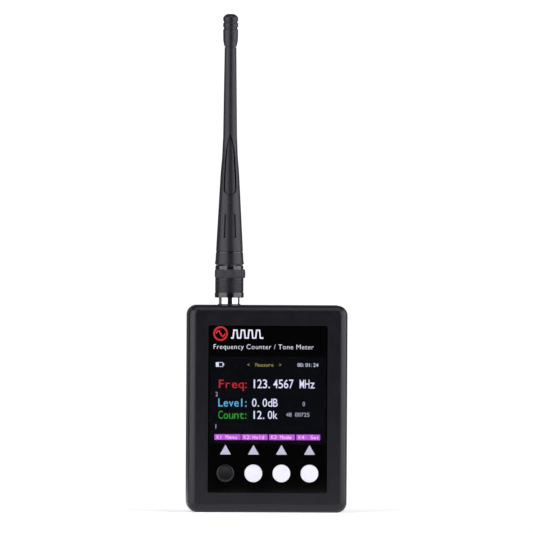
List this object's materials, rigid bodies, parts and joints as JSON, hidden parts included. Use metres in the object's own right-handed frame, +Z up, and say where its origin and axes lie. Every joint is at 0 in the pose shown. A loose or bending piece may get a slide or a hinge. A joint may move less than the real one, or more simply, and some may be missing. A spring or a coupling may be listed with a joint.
{
  "type": "frequency counter",
  "caption": "Hand-held frequency counter with a colour display, a row of push buttons and a detachable whip antenna on a bayonet jack.",
  "frame": {"origin": "middle of the face that the case stands on", "axes": "+X to the right as seen from the display side, +Y from the display to the back, +Z up along the antenna"},
  "size_m": [0.074, 0.0309, 0.2312],
  "materials": {
    "case_plastic": "satin, finely textured",
    "panel_acrylic": "gloss, printed behind",
    "tape": "thin adhesive tape",
    "foam": "soft foam",
    "display_glass": "gloss, lit characters",
    "display_tray": "satin white",
    "flex_film": "amber film",
    "cream_plastic": "satin cream",
    "circuit_board": "green solder resist",
    "chip_plastic": "moulded black",
    "plated_steel": "bright plated",
    "black_steel": "blackened",
    "button_black": "satin black",
    "button_white": "satin white",
    "nickel_plate": "bright nickel",
    "white_insulator": "waxy white",
    "gold_plate": "gold plated",
    "black_rubber": "matt",
    "foil_cell": "foil pouch",
    "red_lead": "satin red",
    "black_lead": "satin black",
    "label_film": "satin grey film",
    "antenna_plastic": "satin",
    "collar_plastic": "satin to gloss",
    "copper_wire": "enamelled copper"
  },
  "bodies": {
    "case": {"front_cover": "case_plastic", "rear_cover": "case_plastic", "front_panel": "panel_acrylic", "panel_tape": "tape", "display_gasket": "foam", "display_pad": "foam", "battery_pad": "foam", "lcd_glass": "display_glass", "lcd_backlight": "display_tray", "lcd_ribbon": "flex_film", "ribbon_socket": "cream_plastic", "battery_socket": "cream_plastic", "battery_plug": "cream_plastic", "main_board": "circuit_board", "main_chip": "chip_plastic", "prescaler_chip": "chip_plastic", "tact_switch_1": "chip_plastic", "tact_switch_2": "chip_plastic", "tact_switch_3": "chip_plastic", "tact_switch_4": "chip_plastic", "usb_tongue": "chip_plastic", "jack_body": "chip_plastic", "rf_shield": "plated_steel", "crystal": "plated_steel", "usb_shell": "plated_steel", "board_screw_1": "plated_steel", "board_screw_2": "plated_steel", "board_screw_3": "plated_steel", "board_screw_4": "plated_steel", "case_screw_1": "black_steel", "case_screw_2": "black_steel", "case_screw_3": "black_steel", "case_screw_4": "black_steel", "jack_shell": "nickel_plate", "jack_insulator": "white_insulator", "jack_contact": "gold_plate", "jack_bushing": "black_rubber", "battery": "foil_cell", "battery_lead_red": "red_lead", "battery_lead_black": "black_lead", "rear_label": "label_film"},
    "plug_seal": {"plug_gasket": "black_rubber"},
    "antenna": {"antenna_sheath": "antenna_plastic", "antenna_tip": "antenna_plastic", "antenna_core": "white_insulator", "antenna_coil": "copper_wire", "plug_body": "nickel_plate", "plug_pin": "gold_plate", "plug_insulator": "white_insulator", "spring_washer": "plated_steel"},
    "collar": {"coupling_collar": "collar_plastic"},
    "button_1": {"button_cap_1": "button_black", "switch_stem_1": "cream_plastic"},
    "button_2": {"button_cap_2": "button_white", "switch_stem_2": "cream_plastic"},
    "button_3": {"button_cap_3": "button_white", "switch_stem_3": "cream_plastic"},
    "button_4": {"button_cap_4": "button_white", "switch_stem_4": "cream_plastic"}
  },
  "joints": [
    {"name": "antenna_pull", "type": "slide", "parent": "case", "child": "plug_seal", "axis": [0, 0, 1], "range_m": [0, 0.009]},
    {"name": "antenna_swivel", "type": "hinge", "parent": "plug_seal", "child": "antenna", "pos_m": [-0.01745, 0.0026, 0.11], "axis": [0, 0, 1], "continuous": true},
    {"name": "collar_turn", "type": "hinge", "parent": "plug_seal", "child": "collar", "pos_m": [-0.01745, 0.0026, 0.105], "axis": [0, 0, 1], "range_deg": [0, 90]},
    {"name": "button_1_press", "type": "slide", "parent": "case", "child": "button_1", "axis": [0, 1, 0], "range_m": [0, 0.0005], "stiffness_N_per_m": 800, "springref_m": -0.0005},
    {"name": "button_2_press", "type": "slide", "parent": "case", "child": "button_2", "axis": [0, 1, 0], "range_m": [0, 0.0005], "stiffness_N_per_m": 800, "springref_m": -0.0005},
    {"name": "button_3_press", "type": "slide", "parent": "case", "child": "button_3", "axis": [0, 1, 0], "range_m": [0, 0.0005], "stiffness_N_per_m": 800, "springref_m": -0.0005},
    {"name": "button_4_press", "type": "slide", "parent": "case", "child": "button_4", "axis": [0, 1, 0], "range_m": [0, 0.0005], "stiffness_N_per_m": 800, "springref_m": -0.0005}
  ],
  "couplings": [
    {"joint": "collar_turn", "follows": "antenna_pull", "rad_per_m": 174.5}
  ]
}
